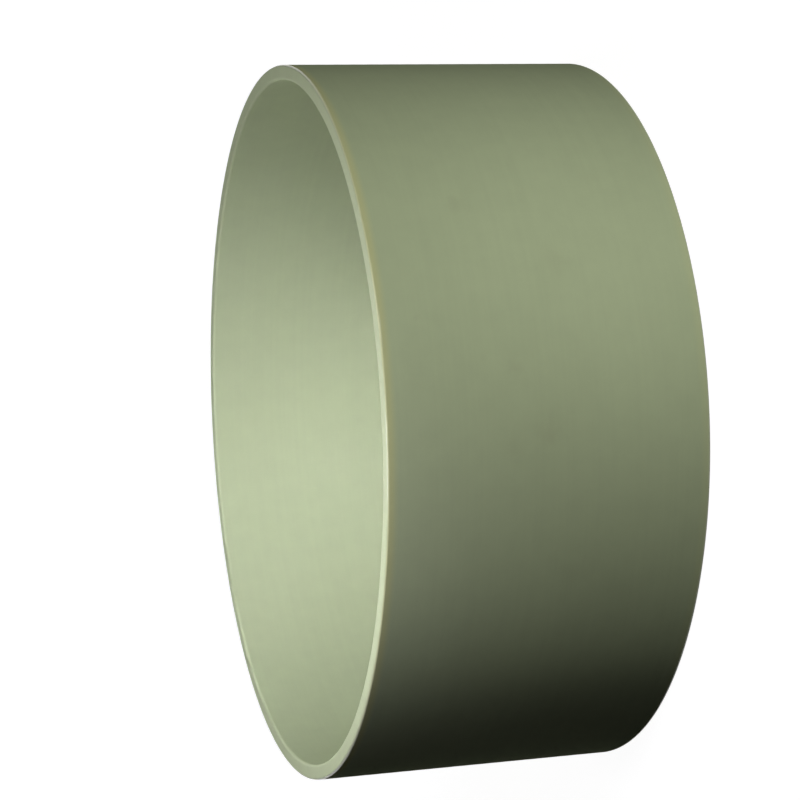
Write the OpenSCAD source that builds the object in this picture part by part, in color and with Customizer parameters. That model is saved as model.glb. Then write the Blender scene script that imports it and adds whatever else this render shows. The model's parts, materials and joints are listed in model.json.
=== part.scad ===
// Ceramic insulator tube
//
// A short, wide, thin-walled tube of fired ceramic, open right through.
// Both end faces are ground flat and square to the axis, and every end
// edge is rounded so that it doesn't chip.
//
// The tube stands on one end. The origin is the centre of the lower end
// face, +Z is the axis of the tube, and all sizes are in millimetres.

/* [Tube] */
// Outside diameter of the tube
outer_d = 240; // [120:1:400]
// Thickness of the wall
wall_t = 5; // [4:0.1:15]
// Length from end face to end face
tube_l = 102; // [20:1:300]

/* [Edges] */
// Radius of the edge between an end face and the outside
outer_edge_r = 0.7; // [0.2:0.1:1.5]
// Radius of the edge between an end face and the bore
inner_edge_r = 1; // [0.2:0.1:1.5]

/* [Hidden] */

outer_r = outer_d / 2;
bore_r = outer_r - wall_t;

// Pale celadon of the fired body
ceramic_colour = [0.78, 0.82, 0.69];

// Circles with more than twelve sides stand for true arcs
arc_fn = 48;
turn_fn = 240;

// What rounding takes off a square corner. The corner lies at the origin
// and the material fills the first quadrant.
module corner_waste(r) {
    difference() {
        square(r);
        translate([r, r])
            circle(r, $fn = arc_fn);
    }
}

// The two corners of the wall at the lower end
module end_waste() {
    translate([bore_r, 0])
        corner_waste(inner_edge_r);
    translate([outer_r, 0])
        mirror([1, 0])
            corner_waste(outer_edge_r);
}

// Half section through the wall: X is the radius and Y the height
module wall_section() {
    difference() {
        translate([bore_r, 0])
            square([wall_t, tube_l]);
        end_waste();
        translate([0, tube_l])
            mirror([0, 1])
                end_waste();
    }
}

module insulator_tube() {
    color(ceramic_colour)
        rotate_extrude($fn = turn_fn)
            wall_section();
}

insulator_tube();
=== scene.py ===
"""Looks of a ceramic insulator tube: a short, wide, thin-walled tube of unglazed fired ceramic.

The tube stands on one end with its axis on +Z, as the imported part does. Lengths are in metres.
"""

import json
import logging
import math
from collections.abc import Callable
from dataclasses import dataclass, field
from enum import Enum
from typing import Self

import bmesh
import bpy
from mathutils import Matrix, Vector


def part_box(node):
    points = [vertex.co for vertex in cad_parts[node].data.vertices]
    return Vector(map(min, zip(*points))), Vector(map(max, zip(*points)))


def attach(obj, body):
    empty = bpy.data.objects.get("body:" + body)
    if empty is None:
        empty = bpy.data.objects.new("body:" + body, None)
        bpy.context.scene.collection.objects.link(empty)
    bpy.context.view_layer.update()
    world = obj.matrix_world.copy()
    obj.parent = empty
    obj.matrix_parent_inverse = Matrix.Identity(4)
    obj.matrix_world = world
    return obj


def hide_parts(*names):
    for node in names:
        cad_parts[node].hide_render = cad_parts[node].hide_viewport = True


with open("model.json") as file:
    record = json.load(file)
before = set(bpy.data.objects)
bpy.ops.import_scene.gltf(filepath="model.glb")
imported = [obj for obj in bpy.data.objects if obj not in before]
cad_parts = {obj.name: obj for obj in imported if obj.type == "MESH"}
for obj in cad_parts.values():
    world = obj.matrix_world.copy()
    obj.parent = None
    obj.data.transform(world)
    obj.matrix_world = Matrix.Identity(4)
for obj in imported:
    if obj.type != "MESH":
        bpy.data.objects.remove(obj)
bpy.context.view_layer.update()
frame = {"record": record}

CAD_NODE = "insulator_tube"
BODY = "root"
BAKE_MAP = "OFBake"

MM = 0.001
# Places closer together than this count as one.
NEAR = 0.1 * MM
# The middle of a pattern that runs from 0 to 1.
MIDDLE = 0.5
# A face is an end face if its normal runs along the axis by more than this.
END_FACING = 0.5
# The bevel profile that is a quarter circle.
ROUND_PROFILE = 0.5
# How fast the bands of the wood texture run, in radians for each unit of length.
WOOD_RATE = 10
# A scale so large that a texture stays the same along its axis.
UNCHANGING = 1000

Colour = tuple[float, float, float]
Point = tuple[float, float, float]
Socket = bpy.types.NodeSocket

log = logging.getLogger("insulator_tube")


def deselect_all() -> None:
    """Clears the selection, because an operator acts on all that is selected."""
    bpy.ops.object.select_all(action="DESELECT")


def mount_dims(name: str) -> dict[str, float]:
    """Finds the sizes of one of the part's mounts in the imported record.

    Args:
        name: The mount's name.

    Returns:
        The mount's sizes, in millimetres.
    """
    return next(mount["dims"] for mount in frame["record"]["mounts"] if mount["name"] == name)


def radius(point: Vector) -> float:
    """Measures how far a point lies from the tube's axis."""
    return math.hypot(point.x, point.y)


@dataclass(frozen=True)
class Spot:
    """Sockets that tell a material where on the tube a point of its surface is."""

    place: Socket
    from_axis: Socket
    height: Socket


class NodeBoard:
    """A shorthand for laying out shader nodes."""

    def __init__(self, tree: bpy.types.NodeTree, output_kind: str) -> None:
        """Clears a node tree down to a new output.

        Args:
            tree: The tree to lay out.
            output_kind: The output node's type, without its ShaderNode prefix.
        """
        self.tree = tree
        self.tree.nodes.clear()
        self.surface = self.add(output_kind).inputs["Surface"]

    def add(self, kind: str, **settings: object) -> bpy.types.Node:
        """Adds a node.

        Args:
            kind: The node's type, without its ShaderNode prefix.
            settings: The node's own properties.

        Returns:
            The new node.
        """
        node = self.tree.nodes.new("ShaderNode" + kind)
        for name, value in settings.items():
            setattr(node, name, value)
        return node

    def feed(self, target: Socket, value: object) -> None:
        """Gives an input a socket to read, or a plain value.

        Args:
            target: The input.
            value: The socket, or the value.
        """
        if isinstance(value, Socket):
            self.tree.links.new(value, target)
        else:
            target.default_value = value

    def math(self, operation: str, *values: object) -> Socket:
        """Adds a Math node.

        Args:
            operation: What it works out.
            values: Its inputs, each a socket or a number.

        Returns:
            The result.
        """
        node = self.add("Math", operation=operation)
        for target, value in zip(node.inputs, values):
            self.feed(target, value)
        return node.outputs[0]

    def vector(self, operation: str, *values: object) -> bpy.types.Node:
        """Adds a Vector Math node.

        Args:
            operation: What it works out.
            values: Its inputs, each a socket or a vector.

        Returns:
            The node, whose result is its Vector or its Value.
        """
        node = self.add("VectorMath", operation=operation)
        for target, value in zip(node.inputs, values):
            self.feed(target, value)
        return node

    def noise(self, place: Socket, size: float, detail: float) -> Socket:
        """Adds a noise pattern.

        Args:
            place: Where the pattern is read.
            size: The size of its largest cells.
            detail: Octaves of finer pattern.

        Returns:
            The pattern, about 0 and up to a half each way.
        """
        node = self.add("TexNoise")
        self.feed(node.inputs["Vector"], place)
        self.feed(node.inputs["Scale"], 1 / size)
        self.feed(node.inputs["Detail"], detail)
        return self.math("SUBTRACT", node.outputs["Fac"], MIDDLE)

    def blend(self, share: Socket, first: object, second: object) -> Socket:
        """Mixes two colours.

        Args:
            share: How much of the second colour shows.
            first: The first colour, or a socket.
            second: The second colour, or a socket.

        Returns:
            The mixed colour.
        """
        node = self.add("Mix", data_type="RGBA")
        colours = [target for target in node.inputs if target.type == "RGBA"]
        for target, value in zip((node.inputs[0], *colours), (share, first, second)):
            self.feed(target, value)
        return next(result for result in node.outputs if result.type == "RGBA")

    def fade(self, value: Socket, full_at: float, gone_at: float, strength: float = 1.0) -> Socket:
        """Fades smoothly from full strength to nothing.

        Args:
            value: What the fade follows.
            full_at: The value with full strength.
            gone_at: The value at which nothing is left.
            strength: The full strength.

        Returns:
            The strength.
        """
        node = self.add("MapRange", interpolation_type="SMOOTHSTEP")
        ends = {"From Min": full_at, "From Max": gone_at, "To Min": strength, "To Max": 0.0}
        for name, setting in {"Value": value, **ends}.items():
            self.feed(node.inputs[name], setting)
        return node.outputs[0]

    def spot(self) -> Spot:
        """Reads where a point of the surface is.

        Returns:
            The sockets that tell it.
        """
        place = self.add("TexCoord").outputs["Object"]
        across = self.vector("MULTIPLY", place, (1, 1, 0)).outputs["Vector"]
        from_axis = self.vector("LENGTH", across).outputs["Value"]
        height = self.vector("DOT_PRODUCT", place, (0, 0, 1)).outputs["Value"]
        return Spot(place, from_axis, height)

    def seen(self) -> Socket:
        """Tells the rays that show a surface from those that only light things.

        Returns:
            A socket that is 1 for camera, glossy and transmission rays.
        """
        path = self.add("LightPath").outputs
        mirrored = self.math("MAXIMUM", path["Is Glossy Ray"], path["Is Transmission Ray"])
        return self.math("MAXIMUM", path["Is Camera Ray"], mirrored)


@dataclass(frozen=True)
class Stain:
    """A faint mark on the outside, left by the kiln or by handling."""

    angle_deg: float
    height: float
    size: float
    strength: float

    def place(self, outer_r: float) -> Point:
        """Finds the middle of the mark on the outside of the tube."""
        angle = math.radians(self.angle_deg)
        return (outer_r * math.cos(angle), outer_r * math.sin(angle), self.height)


@dataclass(frozen=True)
class CeramicFinish:
    """Unglazed fired ceramic: matt, faintly cloudy, with the fine lay of its grinding."""

    colour: Colour = (0.55, 0.635, 0.38)
    # The colour, band and strength of a painted glow near the outer edges, standing in for light let through
    # the thin wall; weaker at the lower end, which is lit less.
    glow_colour: Colour = (0.65, 0.685, 0.345)
    stain_colour: Colour = (0.33, 0.33, 0.19)
    glow_height: float = 1.0 * MM
    glow_fade: float = 2.8 * MM
    glow_width: float = 0.35 * MM
    lower_glow: float = 0.3
    tone_range: float = 0.16
    fleck_tone: float = 0.5
    lay_tone: float = 0.3
    roughness: float = 0.85
    fleck_roughness: float = 0.15
    lay_roughness: float = 0.2
    specular: float = 0.01
    worn_height: float = 0.7 * MM
    worn_depth: float = 0.22 * MM
    worn_fade: float = 0.2 * MM
    worn_roughness: float = 0.18
    cloud_size: float = 80 * MM
    cloud_detail: float = 2
    fleck_size: float = 6.5 * MM
    fleck_detail: float = 3
    grain_size: float = 0.5 * MM
    grain_detail: float = 1
    grain_depth: float = 0.01 * MM
    lay_width: float = 1.6 * MM
    lay_length: float = 120 * MM
    lay_detail: float = 2
    lay_depth: float = 0.004 * MM
    stain_edge: float = 6 * MM
    stains: tuple[Stain, ...] = (
        Stain(-54, 26 * MM, 4 * MM, 0.06),
        Stain(-58, 71 * MM, 5 * MM, 0.09),
        Stain(-68, 44 * MM, 6 * MM, 0.08),
        Stain(-76, 90 * MM, 3 * MM, 0.14),
        Stain(-82, 71 * MM, 3 * MM, 0.08),
        Stain(-84, 61 * MM, 4 * MM, 0.12),
        Stain(-95, 63 * MM, 6 * MM, 0.08),
        Stain(-93, 52 * MM, 5 * MM, 0.15),
        Stain(-114, 42 * MM, 7 * MM, 0.06),
    )

    def material(self, outer_r: float, length: float) -> bpy.types.Material:
        """Makes the material.

        Args:
            outer_r: The tube's outside radius.
            length: The tube's length.

        Returns:
            The new material.
        """
        material = bpy.data.materials.new("matt_ceramic")
        material.use_nodes = True
        board = NodeBoard(material.node_tree, "OutputMaterial")
        spot = board.spot()
        clouds = board.noise(spot.place, self.cloud_size, self.cloud_detail)
        flecks = board.noise(spot.place, self.fleck_size, self.fleck_detail)
        grain = board.noise(spot.place, self.grain_size, self.grain_detail)
        lay = board.noise(self.lay_place(board, spot), self.lay_width, self.lay_detail)
        colour = self.body_tone(board, clouds, flecks, lay)
        # Paints in the glow of light let through the thin wall near the outer edges.
        colour = self.paint_edge_glow(board, spot, colour, outer_r, length)
        colour = self.stained(board, spot, colour, outer_r, flecks)
        shader = board.add("BsdfPrincipled")
        sockets = shader.inputs
        board.feed(sockets["Base Color"], colour)
        board.feed(sockets["Roughness"], self.gloss(board, flecks, lay))
        board.feed(sockets["Specular IOR Level"], self.specular)
        board.feed(sockets["Coat Weight"], self.worn_edges(board, spot, outer_r, length))
        board.feed(sockets["Coat Roughness"], self.worn_roughness)
        board.feed(sockets["Normal"], self.relief(board, grain, lay))
        board.feed(board.surface, shader.outputs[0])
        return material

    def lay_place(self, board: NodeBoard, spot: Spot) -> Socket:
        """Stretches a pattern round the axis, so that it forms rings on the walls and on the end faces.

        Args:
            board: The material's nodes.
            spot: Where the surface is.

        Returns:
            The place at which the stretched pattern is read.
        """
        squeeze = self.lay_width / self.lay_length
        flat = board.vector("MULTIPLY", spot.place, (squeeze, squeeze, 0))
        rise = board.add("CombineXYZ")
        board.feed(rise.inputs["Z"], board.math("ADD", spot.from_axis, spot.height))
        return board.vector("ADD", flat.outputs["Vector"], rise.outputs["Vector"]).outputs["Vector"]

    def body_tone(self, board: NodeBoard, clouds: Socket, flecks: Socket, lay: Socket) -> Socket:
        """Mixes the colour of the fired body, with its clouds, its flecks and the lay of its grinding.

        Args:
            board: The material's nodes.
            clouds: The broad pattern.
            flecks: The fine pattern.
            lay: The pattern of the grinding.

        Returns:
            The colour.
        """
        dark = (*(level * (1 - self.tone_range / 2) for level in self.colour), 1.0)
        light = (*(level * (1 + self.tone_range / 2) for level in self.colour), 1.0)
        tone = board.math("MULTIPLY_ADD", flecks, self.fleck_tone, MIDDLE)
        tone = board.math("ADD", tone, clouds)
        tone = board.math("MULTIPLY_ADD", lay, self.lay_tone, tone)
        return board.blend(tone, dark, light)

    def paint_edge_glow(
        self, board: NodeBoard, spot: Spot, colour: Socket, outer_r: float, length: float
    ) -> Socket:
        """Paints a warm glow near the outer edges, standing in for light that the thin ceramic lets through,
        strongest at the upper end, whose face is lit most.

        Args:
            board: The material's nodes.
            spot: Where the surface is.
            colour: The colour of the fired body.
            outer_r: The tube's outside radius.
            length: The tube's length.

        Returns:
            The colour.
        """
        reach = self.glow_height + self.glow_fade
        upper = board.fade(spot.height, length - self.glow_height, length - reach)
        lower = board.fade(spot.height, self.glow_height, reach, self.lower_glow)
        near_outside = board.fade(spot.from_axis, outer_r, outer_r - self.glow_width)
        # How much painted glow of let-through light each point gets, most at the lit upper end.
        painted_glow = board.math("MULTIPLY", board.math("ADD", upper, lower), near_outside)
        return board.blend(painted_glow, colour, (*self.glow_colour, 1.0))

    def stained(
        self, board: NodeBoard, spot: Spot, colour: Socket, outer_r: float, flecks: Socket
    ) -> Socket:
        """Lays the stains on the outside.

        Args:
            board: The material's nodes.
            spot: Where the surface is.
            colour: The colour under the stains.
            outer_r: The tube's outside radius.
            flecks: The fine pattern, which breaks the stains' edges up.

        Returns:
            The colour.
        """
        wobble = board.math("MULTIPLY", flecks, self.stain_edge)
        for stain in self.stains:
            away = board.vector("DISTANCE", spot.place, stain.place(outer_r)).outputs["Value"]
            mark = board.fade(board.math("ADD", away, wobble), 0.0, stain.size, stain.strength)
            colour = board.blend(mark, colour, (*self.stain_colour, 1.0))
        return colour

    def worn_edges(self, board: NodeBoard, spot: Spot, outer_r: float, length: float) -> Socket:
        """Finds the outer edges, which are rubbed smooth.

        Args:
            board: The material's nodes.
            spot: Where the surface is.
            outer_r: The tube's outside radius.
            length: The tube's length.

        Returns:
            How smooth the surface is rubbed, from 0 to 1.
        """
        reach = self.worn_height + self.worn_fade
        upper = board.fade(spot.height, length - self.worn_height, length - reach)
        lower = board.fade(spot.height, self.worn_height, reach)
        within = outer_r - self.worn_depth
        outside = board.fade(spot.from_axis, within, within - self.worn_fade)
        return board.math("MULTIPLY", board.math("ADD", upper, lower), outside)

    def gloss(self, board: NodeBoard, flecks: Socket, lay: Socket) -> Socket:
        """Varies the roughness with the flecks and the grinding.

        Args:
            board: The material's nodes.
            flecks: The fine pattern.
            lay: The pattern of the grinding.

        Returns:
            The roughness.
        """
        rough = board.math("MULTIPLY_ADD", lay, self.lay_roughness, self.roughness)
        return board.math("MULTIPLY_ADD", flecks, self.fleck_roughness, rough)

    def relief(self, board: NodeBoard, grain: Socket, lay: Socket) -> Socket:
        """Raises the grain of the fired body and the lay of its grinding.

        Args:
            board: The material's nodes.
            grain: The pattern of the grain.
            lay: The pattern of the grinding.

        Returns:
            The bumped normal.
        """
        normal = None
        for pattern, depth in ((grain, self.grain_depth), (lay, self.lay_depth)):
            bump = board.add("Bump")
            board.feed(bump.inputs["Distance"], depth)
            board.feed(bump.inputs["Height"], pattern)
            if normal is not None:
                board.feed(bump.inputs["Normal"], normal)
            normal = bump.outputs["Normal"]
        return normal


class Strip(Enum):
    """The bands of the tube's surface, in the order of a walk round its section."""

    OUTSIDE = 0
    UPPER_END = 1
    BORE = 2
    LOWER_END = 3


@dataclass(frozen=True)
class FeedRings:
    """The shallow rings that the feed of a grinding wheel leaves round the outside."""

    pitch: float = 6.25 * MM
    depth: float = 0.02 * MM
    rows_per_ring: int = 6

    def rows(self, height: float) -> int:
        """Counts the rows of faces that the rings need over a height."""
        return round(height / self.pitch * self.rows_per_ring)


@dataclass
class InsulatorTube:
    """The tube, made in one piece."""

    outer_r: float
    bore_r: float
    length: float
    outer_edge_r: float
    inner_edge_r: float
    finish: CeramicFinish = field(default_factory=CeramicFinish)
    rings: FeedRings = field(default_factory=FeedRings)
    segments: int = 256
    edge_segments: int = 8
    bore_rows: int = 32
    end_rows: int = 4
    map_gap: float = 0.01

    @classmethod
    def from_frame(cls) -> Self:
        """Takes the tube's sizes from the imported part.

        Returns:
            The tube, ready to build.
        """
        low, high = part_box(CAD_NODE)
        length = high.z - low.z
        outside, bore = mount_dims("outside"), mount_dims("bore")
        return cls(
            outer_r=outside["r_mm"] * MM,
            bore_r=bore["r_mm"] * MM,
            length=length,
            outer_edge_r=(length - outside["length_mm"] * MM) / 2,
            inner_edge_r=(length - bore["length_mm"] * MM) / 2,
        )

    @property
    def wall(self) -> float:
        """The thickness of the wall."""
        return self.outer_r - self.bore_r

    def build(self) -> bpy.types.Object:
        """Models the tube and dresses it.

        Returns:
            The tube's object.
        """
        deselect_all()
        bpy.ops.mesh.primitive_cylinder_add(
            vertices=self.segments,
            radius=self.outer_r,
            depth=self.length,
            end_fill_type="NGON",
            calc_uvs=False,
            location=(0, 0, self.length / 2),
        )
        piece = bpy.context.object
        piece.name = piece.data.name = "ceramic_tube"
        bpy.ops.object.transform_apply(location=True, rotation=False, scale=False)
        bpy.ops.object.mode_set(mode="EDIT")
        self.open_bore(piece)
        self.round_ends(piece, self.outer_r, self.outer_edge_r)
        self.round_ends(piece, self.bore_r, self.inner_edge_r)
        self.add_rows(piece)
        bpy.ops.mesh.select_all(action="SELECT")
        bpy.ops.mesh.normals_make_consistent(inside=False)
        bpy.ops.object.mode_set(mode="OBJECT")
        bpy.ops.object.shade_smooth()
        self.grind_outside(piece)
        bpy.ops.object.modifier_add(type="WEIGHTED_NORMAL")
        bpy.ops.object.modifier_apply(modifier=piece.modifiers[-1].name)
        self.map_strips(piece.data)
        piece.data.materials.append(self.finish.material(self.outer_r, self.length))
        return piece

    def open_bore(self, piece: bpy.types.Object) -> None:
        """Insets both end faces by the wall, and bridges what is left into the bore.

        Args:
            piece: The tube, in edit mode.
        """
        bpy.ops.mesh.select_mode(type="FACE")
        bpy.ops.mesh.select_all(action="DESELECT")
        mesh = bmesh.from_edit_mesh(piece.data)
        for face in mesh.faces:
            if abs(face.normal.z) > END_FACING:
                face.select_set(True)
        bmesh.update_edit_mesh(piece.data)
        bpy.ops.mesh.inset(thickness=self.wall, use_individual=True)
        bpy.ops.mesh.bridge_edge_loops()

    def round_ends(self, piece: bpy.types.Object, edge_at: float, edge_r: float) -> None:
        """Rounds the edges of both end faces that lie at one radius.

        Args:
            piece: The tube, in edit mode.
            edge_at: How far the edges lie from the axis.
            edge_r: The radius that they get.
        """

        def on_edge(a: Vector, b: Vector) -> bool:
            """Tells an edge along the rim of an end face from all others."""
            level = abs(a.z - b.z) < NEAR and min(a.z, self.length - a.z) < NEAR
            return level and all(abs(radius(end) - edge_at) < NEAR for end in (a, b))

        self.select_edges(piece, on_edge)
        bpy.ops.mesh.bevel(
            offset=edge_r,
            segments=self.edge_segments,
            profile=ROUND_PROFILE,
            affect="EDGES",
        )

    def add_rows(self, piece: bpy.types.Object) -> None:
        """Cuts the outside, the bore and both end faces into rows of faces.

        Args:
            piece: The tube, in edit mode.
        """
        halfway = self.outer_r - self.wall / 2
        rows = {True: self.rings.rows(self.length), False: self.bore_rows}
        for outside, count in rows.items():
            self.select_edges(
                piece,
                lambda a, b: abs(a.z - b.z) > self.length / 2 and (radius(a) > halfway) == outside,
            )
            bpy.ops.mesh.subdivide(number_cuts=count - 1)
        least_run = self.wall / 3
        self.select_edges(piece, lambda a, b: abs(radius(a) - radius(b)) > least_run)
        bpy.ops.mesh.subdivide(number_cuts=self.end_rows - 1)

    @staticmethod
    def select_edges(piece: bpy.types.Object, wanted: Callable[[Vector, Vector], bool]) -> None:
        """Selects the edges whose two ends pass a test.

        Args:
            piece: The tube, in edit mode.
            wanted: The test, which is given both ends of an edge.
        """
        bpy.ops.mesh.select_mode(type="EDGE")
        bpy.ops.mesh.select_all(action="DESELECT")
        mesh = bmesh.from_edit_mesh(piece.data)
        for edge in mesh.edges:
            if wanted(*(vert.co for vert in edge.verts)):
                edge.select_set(True)
        bmesh.update_edit_mesh(piece.data)

    def grind_outside(self, piece: bpy.types.Object) -> None:
        """Sinks the feed rings into the outside, fading out towards the ends.

        Args:
            piece: The tube, in object mode.
        """
        group = piece.vertex_groups.new(name="ground_outside")
        for vert in piece.data.vertices:
            if abs(radius(vert.co) - self.outer_r) < NEAR:
                room = min(vert.co.z, self.length - vert.co.z) - self.outer_edge_r
                group.add([vert.index], min(max(room / self.rings.pitch, 0), 1), "REPLACE")
        wave = bpy.data.textures.new("feed_rings", "WOOD")
        wave.wood_type = "BANDS"
        ruler = bpy.data.objects.new("feed_ruler", None)
        bpy.context.scene.collection.objects.link(ruler)
        bands_per_unit = WOOD_RATE / math.tau
        ruler.scale = (UNCHANGING, UNCHANGING, self.rings.pitch * bands_per_unit)
        bpy.context.view_layer.update()
        bpy.ops.object.modifier_add(type="DISPLACE")
        dents = piece.modifiers[-1]
        dents.texture = wave
        dents.texture_coords = "OBJECT"
        dents.texture_coords_object = ruler
        dents.vertex_group = group.name
        dents.strength = self.rings.depth
        dents.mid_level = 1.0
        bpy.ops.object.modifier_apply(modifier=dents.name)
        piece.vertex_groups.clear()
        bpy.data.objects.remove(ruler)
        bpy.data.textures.remove(wave)

    def map_strips(self, mesh: bpy.types.Mesh) -> None:
        """Lays the surface out for the bake, in one strip for each band, once round the tube.

        Args:
            mesh: The tube's mesh.
        """
        strips = mesh.uv_layers.new(name=BAKE_MAP).data
        span = {Strip.OUTSIDE: self.length, Strip.UPPER_END: self.wall}
        span |= {Strip.BORE: self.length, Strip.LOWER_END: self.wall}
        share = (1 - self.map_gap * (len(Strip) + 1)) / sum(span.values())
        start, room = {}, self.map_gap
        for strip in Strip:
            start[strip] = room
            room += span[strip] * share + self.map_gap
        for face in mesh.polygons:
            turn = math.atan2(face.center.y, face.center.x)
            strip = self.strip_of(face.normal, turn)
            for corner in face.loop_indices:
                point = mesh.vertices[mesh.loops[corner].vertex_index].co
                lead = (math.atan2(point.y, point.x) - turn + math.pi) % math.tau - math.pi
                across = self.map_gap + (0.5 + (turn + lead) / math.tau) * (1 - 2 * self.map_gap)
                strips[corner].uv = (across, start[strip] + self.walked(strip, point) * share)

    @staticmethod
    def strip_of(normal: Vector, turn: float) -> Strip:
        """Tells which band a face belongs to.

        Args:
            normal: The face's normal.
            turn: The face's angle round the axis.

        Returns:
            The band.
        """
        outward = normal.x * math.cos(turn) + normal.y * math.sin(turn)
        if abs(outward) > abs(normal.z):
            return Strip.OUTSIDE if outward > 0 else Strip.BORE
        return Strip.UPPER_END if normal.z > 0 else Strip.LOWER_END

    def walked(self, strip: Strip, point: Vector) -> float:
        """Measures how far along its band a point lies, on a walk round the section.

        Args:
            strip: The band.
            point: The point.

        Returns:
            The distance from the start of the band.
        """
        match strip:
            case Strip.OUTSIDE:
                return point.z
            case Strip.UPPER_END:
                return self.outer_r - radius(point)
            case Strip.BORE:
                return self.length - point.z
            case _:
                return radius(point) - self.bore_r


@dataclass(frozen=True)
class StudioFloor:
    """A plain floor that shows as white, with the tube's shadow, and lights the tube as a grey one."""

    size: float = 12.0
    drop: float = 0.1 * MM
    bounce: float = 0.05
    glow: float = 0.96
    shade: float = 0.2

    def build(self) -> bpy.types.Object:
        """Lays the floor.

        Returns:
            The floor's object.
        """
        deselect_all()
        bpy.ops.mesh.primitive_plane_add(size=self.size, location=(0, 0, -self.drop))
        floor = bpy.context.object
        floor.name = floor.data.name = "studio_floor"
        floor.data.materials.append(self.material())
        return floor

    def material(self) -> bpy.types.Material:
        """Makes the floor's material.

        Returns:
            The new material.
        """
        material = bpy.data.materials.new("studio_floor")
        material.use_nodes = True
        board = NodeBoard(material.node_tree, "OutputMaterial")
        greys = []
        for level in (self.bounce, self.shade):
            grey = board.add("BsdfDiffuse")
            board.feed(grey.inputs["Color"], (level, level, level, 1.0))
            greys.append(grey.outputs[0])
        glow = board.add("Emission")
        board.feed(glow.inputs["Strength"], self.glow)
        white = board.add("AddShader")
        board.feed(white.inputs[0], glow.outputs[0])
        board.feed(white.inputs[1], greys[1])
        mix = board.add("MixShader")
        for target, value in zip(mix.inputs, (board.seen(), greys[0], white.outputs[0])):
            board.feed(target, value)
        board.feed(board.surface, mix.outputs[0])
        return material


@dataclass(frozen=True)
class StudioWorld:
    """The room round the floor, which shows as white and adds a faint fill to the light of the lamps."""

    fill: float = 0.01

    def build(self) -> None:
        """Sets up the world."""
        world = bpy.data.worlds.new("studio_world")
        world.use_nodes = True
        bpy.context.scene.world = world
        board = NodeBoard(world.node_tree, "OutputWorld")
        mix = board.add("MixShader")
        board.feed(mix.inputs[0], board.seen())
        for target, strength in zip(mix.inputs[1:], (self.fill, 1.0)):
            light = board.add("Background")
            board.feed(light.inputs["Color"], (1.0, 1.0, 1.0, 1.0))
            board.feed(light.inputs["Strength"], strength)
            board.feed(target, light.outputs[0])
        board.feed(board.surface, mix.outputs[0])


@dataclass(frozen=True)
class SoftBox:
    """A square studio lamp."""

    name: str
    place: Point
    target: Point
    size: float
    power: float
    spread_deg: float = 180.0
    colour: Colour = (1.0, 1.0, 1.0)

    def build(self) -> bpy.types.Object:
        """Hangs the lamp and turns it to its target.

        Returns:
            The lamp's object.
        """
        lamp = bpy.data.lights.new(self.name, "AREA")
        lamp.size = self.size
        lamp.energy = self.power
        lamp.color = self.colour
        lamp.spread = math.radians(self.spread_deg)
        holder = bpy.data.objects.new(self.name, lamp)
        bpy.context.scene.collection.objects.link(holder)
        holder.location = self.place
        holder.visible_camera = False
        aim = Vector(self.target) - Vector(self.place)
        holder.rotation_euler = aim.to_track_quat("-Z", "Y").to_euler()
        return holder


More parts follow.
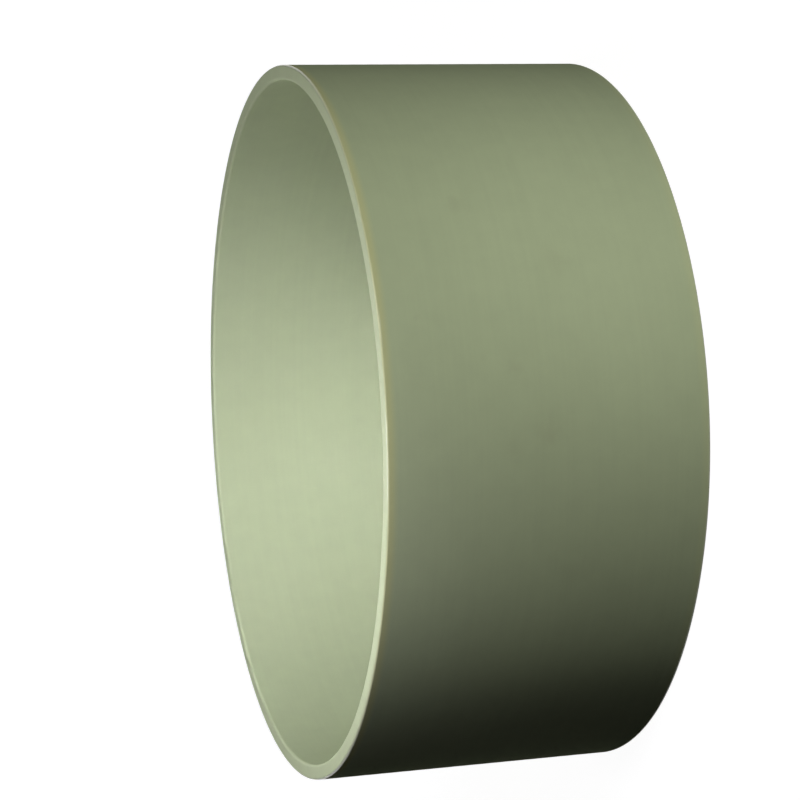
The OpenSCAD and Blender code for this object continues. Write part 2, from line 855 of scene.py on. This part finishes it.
@dataclass(frozen=True)
class StudioLamps:
    """The lamps: three cool ones over the opening, two white ones at the side and a white one behind."""

    tube: InsulatorTube
    cool: Colour = (0.9, 0.86, 1.0)

    def on_bore(self, angle_deg: float, height: float) -> Point:
        """Finds a point on the bore, by its angle round the axis and its height."""
        angle = math.radians(angle_deg)
        return (self.tube.bore_r * math.cos(angle), self.tube.bore_r * math.sin(angle), height)

    def boxes(self) -> tuple[SoftBox, ...]:
        """Places the lamps round the tube.

        Returns:
            The lamps, ready to build.
        """
        inside = (-0.02, 0.06, 0.05)
        middle = (0.0, 0.0, self.tube.length / 2)
        return (
            SoftBox(
                name="rim_lamp",
                place=(-0.03, -0.12, 0.24),
                target=inside,
                size=0.06,
                power=0.255,
                colour=self.cool,
            ),
            SoftBox(
                name="bore_lamp",
                place=(0.0, -0.22, 0.3),
                target=self.on_bore(110, 0.06),
                size=0.1,
                power=0.045,
                spread_deg=50,
                colour=self.cool,
            ),
            SoftBox(
                name="deep_lamp",
                place=(0.0, -0.35, 0.42),
                target=self.on_bore(100, 0.03),
                size=0.1,
                power=0.023,
                spread_deg=20,
                colour=self.cool,
            ),
            SoftBox(
                name="low_lamp",
                place=(0.12, -0.3, 0.015),
                target=self.on_bore(-45, 0.02),
                size=0.05,
                power=0.187,
            ),
            SoftBox(
                name="side_lamp",
                place=(0.778, -1.111, 0.9),
                target=middle,
                size=0.48,
                power=4.72,
            ),
            SoftBox(
                name="back_lamp",
                place=(0.0, 2.0, 0.45),
                target=middle,
                size=0.6,
                power=15.0,
            ),
        )


@dataclass(frozen=True)
class PhotoCamera:
    """The camera at the photograph's viewing angle: a little above the upper end, and rolled on its side."""

    place: Point = (0.0016, -0.7523, 0.2874)
    pitch_deg: float = -16.73
    turn_deg: float = -0.32
    roll_deg: float = -92.755
    lens_mm: float = 102.76
    sensor_mm: float = 36.0
    near_clip: float = 0.01

    def build(self) -> bpy.types.Object:
        """Sets up the camera and makes it the scene's own.

        Returns:
            The camera's object.
        """
        camera = bpy.data.cameras.new("photo_camera")
        camera.sensor_width = self.sensor_mm
        camera.lens = self.lens_mm
        camera.clip_start = self.near_clip
        holder = bpy.data.objects.new("photo_camera", camera)
        bpy.context.scene.collection.objects.link(holder)
        pitch = Matrix.Rotation(math.radians(90 + self.pitch_deg), 4, "X")
        turn = Matrix.Rotation(math.radians(self.turn_deg), 4, "Z")
        roll = Matrix.Rotation(math.radians(self.roll_deg), 4, "Z")
        holder.matrix_world = Matrix.Translation(self.place) @ turn @ pitch @ roll
        bpy.context.scene.camera = holder
        return holder


def main() -> None:
    """Builds the tube and the studio round it."""
    logging.basicConfig(level=logging.INFO)
    bpy.context.scene.view_settings.view_transform = "Standard"
    tube = InsulatorTube.from_frame()
    piece = tube.build()
    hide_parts(CAD_NODE)
    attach(piece, BODY)
    log.info("%s: %d faces", piece.name, len(piece.data.polygons))
    StudioFloor().build()
    StudioWorld().build()
    for box in StudioLamps(tube).boxes():
        box.build()
    PhotoCamera().build()


if __name__ == "__main__":
    main()
